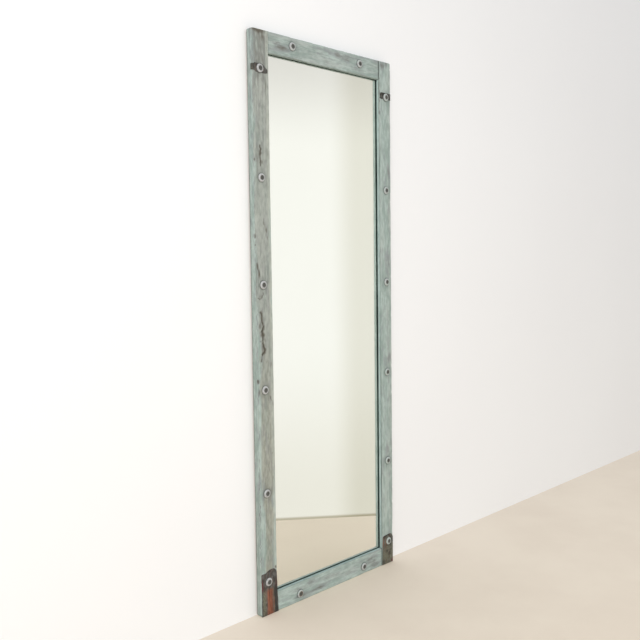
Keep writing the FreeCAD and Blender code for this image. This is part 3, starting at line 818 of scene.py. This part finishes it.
# Backing board
# Thin plywood let in flush with the back of the frame, its face grain upright, fixed by sixteen small screws.
# The bare veneer has gone a little brown, with darker latewood bands and a few pin specks.
plywood = Finish("bare_plywood", Specular_IOR_Level=0.3)
ply_object = plywood.place()
ply_x, ply_y, ply_z = plywood.node("SeparateXYZ", {0: ply_object}).outputs
ply_sway = plywood.times(plywood.mottle(ply_object, (0.16, 1.0, 0.7), 2.0), 0.05)
ply_place = plywood.node("CombineXYZ", {0: ply_z, 1: plywood.plus(ply_x, ply_sway), 2: ply_y}).outputs[0]
ply_streaks, ply_clouds, ply_fibres, _ = plywood.shared(grain.tree, Place=ply_place, Length=0.35, Width=0.006)
ply_tone = plywood.blend(plywood.between(ply_streaks, 0.3, 0.7), shade(168, 130, 88), shade(204, 172, 128))
ply_tone = plywood.blend(plywood.between(ply_clouds, 0.5, 0.8), ply_tone, shade(186, 150, 108))
ply_pores = plywood.between(ply_fibres, 0.58, 0.72)
ply_tone = plywood.blend(plywood.times(ply_pores, 0.45), ply_tone, shade(128, 94, 60))
plywood.feed(Base_Color=ply_tone, Roughness=plywood.between(ply_streaks, -0.9, 0.95))
plywood.relief(plywood.sums("SUBTRACT", ply_streaks, ply_pores), 0.0003)
dress(plywood, "backing_board")

# Iron straps and foot plates
# Thin old sheet iron, cut by hand: a strap across the head of each stile and a plate over each foot.
# Each is held by the stile's own screw and cup; the iron is black-brown, with red rust and olive bloom.
iron_step = 0.001
iron_rim = 0.0006
iron_thickness = 0.0012
iron_wobble = 0.0005
iron_side_wobble = 0.0008
iron_side_reach = 0.006
iron_dent = 0.00012
iron_fine_dent = 0.00006
raw_edge_reach = 0.0012
line_points = 400
line_blur = 31

iron = Finish("rusted_sheet_iron", Specular_IOR_Level=0.35)
iron_place = iron.place()
iron_cloud = iron.mottle(iron_place, (0.010, 0.010, 0.014), 6.0, 0.65)
iron_grit = iron.mottle(iron_place, (0.0022, 0.0022, 0.0022), 4.0, 0.65)
iron_runs = iron.mottle(iron_place, (0.005, 0.01, 0.05), 5.0, 0.6)
iron_pits, = iron.shared(specks.tree, Place=iron_place, Size=0.0018, Share=0.18)


def iron_zone(label):
    """Mask from the mesh, its edge broken up by the runs of the rust."""
    return iron.shared(ragged.tree, Mask=iron.reading(label), Noise=iron_runs, Depth=1.6, Softness=0.9)[0]


iron_tone = iron.blend(iron.between(iron_cloud, 0.38, 0.64), shade(74, 73, 70), shade(114, 114, 109))
brown_runs = iron.times(iron.between(iron_runs, 0.50, 0.66), 0.35)
iron_tone = iron.blend(brown_runs, iron_tone, shade(98, 80, 70))
olive_tone = iron.blend(iron.between(iron_grit, 0.35, 0.65), shade(94, 94, 79), shade(132, 131, 113))
iron_tone = iron.blend(iron_zone("olive_bloom"), iron_tone, olive_tone)
# Dark patches, and on the bent strap painted shade in its creases
iron_tone = iron.blend(iron_zone("soot"), iron_tone, shade(62, 62, 58))
rust_tone = iron.blend(iron.between(iron_runs, 0.35, 0.65), shade(118, 72, 54), shade(166, 110, 86))
iron_tone = iron.blend(iron_zone("rust"), iron_tone, rust_tone)
iron_tone = iron.blend(iron_zone("maroon"), iron_tone, shade(104, 64, 64))
edge_wear = iron.times(iron.reading("raw_edge"), iron.between(iron_grit, 0.3, 0.7))
iron_tone = iron.blend(iron.times(edge_wear, 0.6), iron_tone, shade(50, 46, 44))
iron_tone = iron.blend(iron.times(iron_pits, 0.55), iron_tone, shade(46, 40, 38))
iron.feed(Base_Color=iron_tone, Roughness=iron.between(iron_cloud, -0.7, 0.75))
iron.feed(Metallic=iron.times(iron.between(iron_grit, 0.55, 0.3), 0.25))
iron.relief(iron.sums("SUBTRACT", iron.plus(iron_grit, iron_cloud), iron_pits), 0.0006)


def iron_sheet(name, plan, low_edge, high_edge, taper, creases, masks, seed):
    """Hand-cut sheet carried along a line in plan: at each place the section is a loop up the outer face,
    from the lower edge line to the upper one, and down the back. Rim, dents and ragged outline go inwards."""
    low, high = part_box(name)
    tangent = np.gradient(plan, axis=0)
    tangent /= np.linalg.norm(tangent, axis=1, keepdims=True)
    outward = np.stack([tangent[:, 1], -tangent[:, 0]], -1)[:, None]
    run = np.concatenate([[0], np.cumsum(np.linalg.norm(np.diff(plan, axis=0), axis=1))])
    wobble = iron_wobble * (1 + patches(run, 0 * run, 0.006, 1, seed))
    foot, top = low_edge(run), high_edge(run) - wobble
    foot = foot + wobble * (foot > low.z + iron_wobble)
    rows = np.linspace(0, 1, int((top - foot).max() / iron_step) + 1)
    z = foot[:, None] + (top - foot)[:, None] * rows
    from_start = np.broadcast_to(run[:, None], z.shape)
    to_last = run[-1] - from_start
    edge = np.minimum.reduce([from_start, to_last, z - foot[:, None], top[:, None] - z])
    dents = iron_dent * (1 + patches(from_start, z, 0.014, 0.02, seed + 2))
    dents += iron_fine_dent * (1 + patches(from_start, z, 0.004, 0.004, seed + 3)) + creases(from_start)
    facing = plan[:, None] - outward * (rounded(edge, iron_rim) + dents)[..., None]
    behind = np.broadcast_to(plan[:, None] - outward * iron_thickness, facing.shape)
    inwards = np.exp(-from_start / iron_side_reach) - np.exp(-to_last / iron_side_reach)
    aside = inwards * iron_side_wobble * (1 + patches(z, 0 * z, 0.008, 1, seed + 1))
    aside = tangent[:, None] * aside[..., None]
    back_rows = [-1, len(rows) // 2, 0]
    flat = np.concatenate([facing + aside, (behind + aside)[:, back_rows]], 1)
    level = np.concatenate([z, z[:, back_rows]], 1)
    flat[..., 0] = taper(flat[..., 0], level)
    mesh = loops_mesh(name, [np.stack([flat[..., 0], flat[..., 1], level], -1)])
    across = np.broadcast_to(run[:, None], level.shape)
    rust, olive, maroon, soot = (np.clip(mask, 0, 1) for mask in masks(across, level))
    raw_edge = np.concatenate([np.exp(-edge / raw_edge_reach), np.ones((len(run), len(back_rows)))], 1)
    give(mesh, rust=rust, olive_bloom=olive, maroon=maroon, soot=soot, raw_edge=raw_edge)
    place_piece(mesh, f"{name}_iron", "old_iron", name, iron)


def level_plan(name):
    """Plan line of a flat piece: along its front face from left to right."""
    low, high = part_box(name)
    x = np.linspace(low.x, high.x, int((high.x - low.x) / iron_step) + 1)
    return np.stack([x, np.full(x.shape, low.y)], -1)


def drawn_line(places):
    """Smooth edge line through a few places given as (run, height): straight runs blurred by a bell."""
    runs, heights = np.array(places).T

    def line(run):
        fine = np.linspace(runs[0], runs[-1], line_points)
        blur = np.hanning(line_blur)
        padded = np.pad(np.interp(fine, runs, heights), line_blur // 2, mode="edge")
        return np.interp(run, fine, np.convolve(padded, blur / blur.sum(), mode="valid"))

    return line


def level_line(height):
    """Edge line at one height."""
    return lambda run: np.full(run.shape, height)


def straight_sides(x, level):
    """Leaves the sides of a sheet upright."""
    return x


def no_creases(run):
    """Depth of the creases in a sheet that has none."""
    return 0 * run


left_foot_low, left_foot_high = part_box("left_foot_plate")
left_foot_flare = 0.0066
left_foot_reach = 0.147
left_foot_shoulder = 0.137
left_foot_rise = 0.008
left_foot_near_radius = 0.002
left_foot_far_radius = 0.0195
left_foot_far_drop = 0.93
left_foot_width = left_foot_high.x - left_foot_low.x


def left_foot_top(run):
    """Edge that steps up softly towards the right and turns down in a quarter circle at the far corner."""
    edge = left_foot_shoulder + left_foot_rise * smooth_step(run, 0.014, 0.042)
    edge = edge - rounded(run, left_foot_near_radius)
    return edge - left_foot_far_drop * rounded(left_foot_width - run, left_foot_far_radius)


def left_foot_taper(x, level):
    """Draws the sheet in from its right-hand edge: all of the flare is gone at the plate's full height."""
    share = (x - left_foot_low.x) / left_foot_width
    return x - left_foot_flare * share * level / left_foot_reach


def left_foot_masks(across, level):
    """Red rust down the middle of the lower half, with olive beside it and a dark outer strip; darker above,
    with maroon patches and a maroon fringe at the left."""
    lower = 1 - smooth_step(level, 0.072, 0.096)
    rust = 1.25 * lower * bell(across - 0.036, 0.0125)
    olive = lower * (1.1 * bell(across - 0.011, 0.007) + 0.5 * bell(across - 0.050, 0.005)) + 0.15
    maroon = 1.1 * bell(across, 0.008) * bell(level - 0.096, 0.020) + 0.2 * (1 - lower)
    soot = lower * bell(across - 0.061, 0.006) + 0.25 + 0.35 * patches(across, level, 0.008, 0.012, 53)
    return rust, olive, maroon, soot


iron_sheet(
    "left_foot_plate", level_plan("left_foot_plate"), level_line(left_foot_low.z), left_foot_top,
    left_foot_taper, no_creases, left_foot_masks, 51,
)

right_foot_low, right_foot_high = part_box("right_foot_plate")
right_foot_width = right_foot_high.x - right_foot_low.x
right_foot_slant = 0.003
right_foot_reach = 0.107
right_foot_rise = 0.004
right_foot_near_radius = 0.007
right_foot_far_radius = 0.022


def right_foot_top(run):
    """Low dome: a small quarter circle at the near corner and a wide one at the outer corner."""
    edge = right_foot_reach + right_foot_rise * run / right_foot_width
    edge = edge - rounded(run, right_foot_near_radius)
    return edge - rounded(right_foot_width - run, right_foot_far_radius)


def right_foot_taper(x, level):
    """Draws the sheet in from its left-hand edge, by the whole slant at the plate's full height."""
    share = (right_foot_high.x - x) / right_foot_width
    return x + right_foot_slant * share * level / right_foot_reach


def right_foot_masks(across, level):
    """Olive with dark patches, browner beside the screw at the left and maroon in the lowest right corner."""
    olive = 0.45 + 0.4 * (1 - smooth_step(level, 0.045, 0.085))
    rust = 0.5 * bell(across, 0.014) * bell(level - 0.078, 0.026)
    maroon = 0.7 * bell(across - 0.054, 0.009) * bell(level - 0.007, 0.009)
    soot = 0.18 + 0.6 * patches(across, level, 0.009, 0.012, 58) + 0.3 * smooth_step(level, 0.085, 0.105)
    return rust, olive, maroon, soot


iron_sheet(
    "right_foot_plate", level_plan("right_foot_plate"), level_line(right_foot_low.z), right_foot_top,
    right_foot_taper, no_creases, right_foot_masks, 57,
)

strap_low, strap_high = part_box("left_upper_strap")
strap_bend = 0.0034
crease_depth = 0.00028
crease_pitch = 0.0047
crease_soot = 2200
bent_plan = np.concatenate([
    straight((strap_low.x, strap_high.y), (strap_low.x, strap_low.y + strap_bend), iron_step),
    quarter((strap_low.x + strap_bend, strap_low.y + strap_bend), strap_bend, np.pi, 7),
    straight((strap_low.x + strap_bend, strap_low.y), (strap_high.x, strap_low.y), iron_step),
    [(strap_high.x, strap_low.y)],
])
left_strap_top = drawn_line([
    (0.000, 1.6950), (0.012, 1.6955), (0.018, 1.6990), (0.044, 1.6993),
    (0.050, 1.6970), (0.060, 1.6910), (0.070, 1.6830),
])
left_strap_foot = drawn_line([
    (0.000, 1.6760), (0.017, 1.6757), (0.022, 1.6720), (0.062, 1.6717), (0.070, 1.6740),
])


def bend_creases(run):
    """Upright creases that the hammer left where the strap was bent round the arris: a cosine wave that dies
    out across the face."""
    wave = 1 - np.cos(2 * np.pi * run / crease_pitch)
    return crease_depth * wave * (1 - smooth_step(run, 0.010, 0.020))


def strap_masks(dark_share, creases):
    """Masks of a strap: no rust, a little olive at its left end, dark patches over a share of it, and painted
    shade in its creases, darker where they are deeper."""

    def masks(across, level):
        # Painted shade in the creases, darker where they are deeper
        soot = dark_share + 0.5 * patches(across, level, 0.007, 0.008, 71) + crease_soot * creases(across)
        return 0 * across, 0.5 * bell(across, 0.016), 0 * across, soot

    return masks


iron_sheet(
    "left_upper_strap", bent_plan, left_strap_foot, left_strap_top,
    straight_sides, bend_creases, strap_masks(-0.35, bend_creases), 63,
)
right_strap_top = drawn_line([(0.000, 1.687), (0.004, 1.6935), (0.010, 1.6945), (0.0565, 1.694)])
right_strap_foot = drawn_line([(0.000, 1.6725), (0.006, 1.6707), (0.030, 1.6715), (0.0565, 1.6707)])
iron_sheet(
    "right_upper_strap", level_plan("right_upper_strap"), right_strap_foot, right_strap_top,
    straight_sides, no_creases, strap_masks(0.6, no_creases), 69,
)

# Screw cups
# Turned metal cups, a ring with a domed outside and a countersunk seat, one under each face screw's head.
# They are dull with small dents, some half painted over, with dirt and painted shade in the seat and round
# the foot.
cup_rim = 0.0009
cup_crown_radius = 0.0078
cup_seat_radius = 0.0069
cup_bore = 0.0026
cup_bore_ease = 0.0005
cup_foot_ease = 0.0003
cup_dent = 0.012
cup_turns = 72
dome_points = 14
seat_points = 8


def cup_section(height):
    """Closed outline of a cup as (radius, height): foot, rim, an arc over the dome, flat crown and seat. The
    arc is a quarter circle leaned in a little, by powers of its cosine and sine."""
    arc = np.linspace(0, np.pi / 2, dome_points)
    dome_radius = cup_crown_radius + (cup_radius - cup_crown_radius) * np.cos(arc) ** 1.25
    dome_height = cup_rim + (height - cup_rim) * np.sin(arc) ** 1.1
    seat = np.linspace(0, 1, seat_points)[1:]
    seat_radius = cup_seat_radius + (cup_bore - cup_seat_radius) * seat
    foot = [cup_bore + cup_bore_ease, cup_radius - cup_foot_ease, cup_radius]
    radius = np.concatenate([foot, dome_radius, [cup_seat_radius], seat_radius])
    level = np.concatenate([[0, 0, cup_foot_ease], dome_height, [height], height * (1 - seat)])
    return radius, level


cup = Finish("dull_cup_metal", Specular_IOR_Level=0.5)
cup_place = cup.place()
cup_cloud = cup.mottle(cup_place, (0.006, 0.006, 0.006), 5.0)
cup_grit = cup.mottle(cup_place, (0.0012, 0.0012, 0.0012), 3.0)
cup_specks, = cup.shared(specks.tree, Place=cup_place, Size=0.0016, Share=0.16)
cup_tone = cup.blend(cup.between(cup_cloud, 0.3, 0.7), shade(172, 173, 173), shade(214, 214, 214))
cup_paint, = cup.shared(
    ragged.tree, Mask=cup.reading("cup_paint"), Noise=cup_cloud, Depth=2.5, Softness=0.6
)
cup_tone = cup.blend(cup_paint, cup_tone, shade(178, 191, 184))
cup_tone = cup.blend(cup.times(cup_specks, 0.5), cup_tone, shade(116, 116, 110))
# Dirt and painted shade in the seat and round the foot
cup_tone = cup.blend(cup.reading("cup_dirt"), cup_tone, shade(98, 99, 93))
cup_rust, = cup.shared(ragged.tree, Mask=cup.reading("cup_rust"), Noise=cup_grit, Depth=1.6, Softness=0.6)
cup_tone = cup.blend(cup_rust, cup_tone, cup.blend(cup_cloud, shade(92, 80, 66), shade(138, 130, 114)))
cup_bright = cup.sums("SUBTRACT", 0.5, cup.times(cup_paint, 0.5))
cup_shine = cup.times(cup.between(cup_cloud, 0.2, 0.8), cup_bright)
cup.feed(Base_Color=cup_tone, Metallic=cup_shine, Roughness=cup.between(cup_cloud, -0.4, 1.3))
cup.relief(cup.plus(cup_cloud, cup.times(cup_grit, 0.4)), 0.0003)


def screw_cups(board_name, painted, rusty, seed):
    """The cups of one board: each section is turned about its screw's line, with dents that go inwards. A
    share of them is painted over, and those whose numbers are given as rusty are brown in the middle."""
    name = f"{board_name}_screw_cups"
    angle = np.linspace(0, 2 * np.pi, cup_turns, endpoint=False)[:, None]
    shells, dirt, rust = [], [], []
    for number, (low, high) in enumerate(spots(name)):
        radius, level = cup_section(high[1] - low[1])
        centre = (low + high) / 2
        dent = 1 - cup_dent * (1 + patches(angle, radius + level, 0.7, 0.004, seed + number))
        x = centre[0] + radius * dent * np.cos(angle)
        z = centre[2] + radius * dent * np.sin(angle)
        shells.append(np.stack([x, high[1] - level * dent, z], -1))
        # Dirt and painted shade in the seat below the crown and round the foot of the dome
        in_seat = smooth_step(radius, cup_seat_radius + 0.0022, cup_seat_radius - 0.0004) * (level > 0)
        at_foot = smooth_step(level, 0.0016, 0.0004) * (radius > cup_crown_radius)
        dirt.append(np.broadcast_to(np.clip(0.95 * in_seat + 0.85 * at_foot, 0, 1), x.shape))
        in_middle = smooth_step(radius, 0.0105, 0.0075)
        rust.append(np.broadcast_to(in_middle * float(number in rusty), x.shape))
    mesh = loops_mesh(name, shells, ring=True)
    paint_share = np.full(np.shape(rust), painted)
    give(mesh, cup_dirt=np.array(dirt), cup_rust=np.array(rust), cup_paint=paint_share)
    place_piece(mesh, f"{board_name}_turned_cups", "screw_cup", name, cup)


screw_cups("left_stile", 0.1, (), 80)
screw_cups("right_stile", 0.5, (), 90)
screw_cups("top_rail", 0.3, (), 100)
screw_cups("bottom_rail", 0.4, (0,), 110)

# Face screws
# Slotted countersunk screws of blackened steel, sunk into the cups and turned home by hand.
# Their heads are dark, with a little brown in the slot and fine lines where a driver has slipped.
dark_steel = Finish("blackened_screw_steel", Specular_IOR_Level=0.4)
dark_place = dark_steel.place()
dark_cloud = dark_steel.mottle(dark_place, (0.004, 0.004, 0.004), 5.0)
dark_streaks, _, dark_fibres, _ = dark_steel.shared(grain.tree, Place=dark_place, Length=0.004, Width=0.0005)
dark_patch = dark_steel.between(dark_cloud, 0.35, 0.7)
dark_tone = dark_steel.blend(dark_patch, shade(80, 81, 77), shade(114, 113, 108))
dark_tone = dark_steel.blend(dark_steel.between(dark_streaks, 0.6, 0.75), dark_tone, shade(114, 105, 93))
dark_steel.feed(Base_Color=dark_tone, Roughness=dark_steel.between(dark_cloud, -0.8, 0.9))
dark_steel.feed(Metallic=dark_steel.times(dark_steel.between(dark_cloud, 0.3, 0.7), 0.3))
dark_steel.relief(dark_steel.plus(dark_cloud, dark_fibres), 0.0002)
dress(dark_steel, "left_stile_screws", "right_stile_screws", "top_rail_screws", "bottom_rail_screws")

# D-ring hangers and backing board screws
# Zinc-plated steel: a strap folded round each ring and held by two domed screws, and sixteen slotted screws.
# The plating is pale and faintly yellow, with fine rubbed lines and dull patches.
zinc = Finish("zinc_plated_steel", Metallic=1.0)
zinc_place = zinc.place()
zinc_cloud = zinc.mottle(zinc_place, (0.009, 0.009, 0.009), 5.0)
zinc_streaks, _, zinc_fibres, _ = zinc.shared(grain.tree, Place=zinc_place, Length=0.012, Width=0.0006)
zinc_tone = zinc.blend(zinc.between(zinc_cloud, 0.3, 0.7), shade(182, 176, 156), shade(218, 216, 206))
zinc_tone = zinc.blend(zinc.between(zinc_streaks, 0.58, 0.75), zinc_tone, shade(158, 152, 134))
zinc.feed(Base_Color=zinc_tone, Roughness=zinc.plus(0.24, zinc.times(zinc_cloud, 0.3)))
zinc.relief(zinc.plus(zinc_streaks, zinc_fibres), 0.00006)
dress(zinc, "backing_board_screws")
for side in ("left", "right"):
    dress(zinc, f"{side}_hanger_strap", f"{side}_hanger_screws", f"{side}_hanger_ring")

# Stage
# A pale floor and a white wall close behind the mirror; the wall is seen only from its front, so that the
# back of the mirror stays in view and in light. A glowing white board across the room, with painted shade
# towards its top and its right end and a thin painted shadow along its foot, is for the glass alone to show.
wall_gap = 0.0005
wall_face = cad_box[1].y + wall_gap
reach = 6.0
wall_height = 5.0
near_end = np.array((-1.2, -1.858, 0))
far_end = np.array((1.9, 0.615, 0))
rise = np.array((0, 0, wall_height))


def stage_sheet(name, corners, finish):
    """Flat sheet of the stage through four corners."""
    mesh = bpy.data.meshes.new(name)
    mesh.from_pydata(corners, [], [(0, 1, 2, 3)])
    mesh.materials.append(finish.material)
    sheet = bpy.data.objects.new(name, mesh)
    bpy.context.scene.collection.objects.link(sheet)


floor = Finish("pale_floor", Roughness=0.75, Specular_IOR_Level=0.2)
floor_cloud = floor.mottle(floor.place(), (0.5, 0.5, 0.5), 6.0, 0.6)
floor_tone = floor.blend(floor.between(floor_cloud, 0.3, 0.7), shade(243, 228, 208), shade(249, 235, 215))
floor.feed(Base_Color=floor_tone)
stage_sheet("floor", [(-reach, -reach, 0), (reach, -reach, 0), (reach, reach, 0), (-reach, reach, 0)], floor)

wall = Finish("white_wall", Roughness=0.9, Specular_IOR_Level=0.1)
wall_cloud = wall.mottle(wall.place(), (1.2, 1.2, 1.2), 2.0)
wall.feed(Base_Color=wall.blend(wall_cloud, shade(249, 248, 247), shade(253, 253, 252)))
wall_front = wall.sums("SUBTRACT", 1.0, wall.node("NewGeometry", {}).outputs["Backfacing"])
wall_rays = wall.node("LightPath", {}).outputs
wall.show(wall.times(wall_rays["Is Camera Ray"], wall_front), wall.shader.outputs[0])
wall_feet = [(-reach, wall_face, 0), (reach, wall_face, 0)]
stage_sheet("wall", wall_feet + [(x, y, wall_height) for x, y, _ in wall_feet[::-1]], wall)

room = Finish("white_room")
room_x, _, room_level = room.node("SeparateXYZ", {0: room.place()}).outputs
# Painted light and shade on the glowing board: darker low down and towards the top, a thin painted shadow
# along its foot, and painted shade towards its right end
room_tone = room.blend(room.between(room_level, 0.05, 0.8), (0.865, 0.85, 0.79, 1), (0.985, 0.985, 0.96, 1))
room_tone = room.blend(room.between(room_level, 1.55, 2.0), room_tone, (0.76, 0.75, 0.73, 1))
room_tone = room.blend(room.between(room_level, 0.004, 0.016), (0.50, 0.46, 0.36, 1), room_tone)
room_side = {0: room.between(room_x, 0.515, 0.62), 6: room_tone, 7: (0.845, 0.835, 0.79, 1)}
room_tone = room.node("Mix", room_side, data_type="RGBA", blend_type="MULTIPLY").outputs[2]
room_rays = room.node("LightPath", {}).outputs
room_seen = room.sums("MAXIMUM", room_rays["Is Glossy Ray"], room_rays["Is Transmission Ray"])
room.show(room_seen, room.node("Emission", {"Color": room_tone, "Strength": 1.0}).outputs[0])
room.tree.nodes.remove(room.shader)
stage_sheet("room_board", [near_end, far_end, far_end + rise, near_end + rise], room)

# Light and camera
# Soft light from all round, a little cool against the warm floor, with one wide lamp at the front left.
# The camera stands where the photograph was taken: chest high, left of the mirror and turned 45 degrees.
sky_light = 0.72
sky_shown = 0.95
world = bpy.data.worlds.new("studio")
bpy.context.scene.world = world
world.use_nodes = True
sky = Recipe(world.node_tree)
sky_rays = sky.node("LightPath", {}).outputs
sky_seen = sky.sums("MAXIMUM", sky_rays["Is Camera Ray"], sky_rays["Is Glossy Ray"])
sky_seen = sky.sums("MAXIMUM", sky_seen, sky_rays["Is Transmission Ray"])
sky_levels = {"Value": sky_seen, "To Min": sky_light, "To Max": sky_shown}
sky_level = sky.node("MapRange", sky_levels).outputs["Result"]
background = sky.tree.nodes["Background"]
sky_tone = sky.blend(sky_seen, (0.97, 0.995, 1.035, 1), (1, 1, 1, 1))
sky.tree.links.new(sky_tone, background.inputs["Color"])
sky.tree.links.new(sky_level, background.inputs["Strength"])

lamp_place = np.array((-2.6, -2.8, 2.2))
lamp_target = np.array((0, 0, 0.9))
lamp = bpy.data.lights.new("wide_lamp", "AREA")
lamp.size = 2.6
lamp.energy = 30.0
lamp.spread = np.radians(110)
lamp_object = bpy.data.objects.new("wide_lamp", lamp)
lamp_line = lamp_target - lamp_place
lamp_tilt = np.arctan2(np.hypot(lamp_line[0], lamp_line[1]), -lamp_line[2])
lamp_object.location = lamp_place
lamp_object.rotation_euler = (lamp_tilt, 0, np.arctan2(lamp_line[1], lamp_line[0]) - np.pi / 2)
lamp_object.visible_glossy = False
lamp_object.visible_transmission = False
bpy.context.scene.collection.objects.link(lamp_object)

camera_place = (-1.8612, -1.8147, 1.1014)
camera_turn = np.radians(-45.167)
camera_tilt = np.radians(90 - 4.169)
camera_roll = np.radians(-0.722)
camera = bpy.data.cameras.new("camera")
camera.lens = 44.0
camera.sensor_width = 36.0
camera_object = bpy.data.objects.new("camera", camera)
turn = Matrix.Rotation(camera_turn, 4, "Z") @ Matrix.Rotation(camera_tilt, 4, "X")
turn = turn @ Matrix.Rotation(camera_roll, 4, "Z")
camera_object.matrix_world = Matrix.Translation(camera_place) @ turn
bpy.context.scene.collection.objects.link(camera_object)
bpy.context.scene.camera = camera_object
bpy.context.scene.view_settings.view_transform = "Standard"
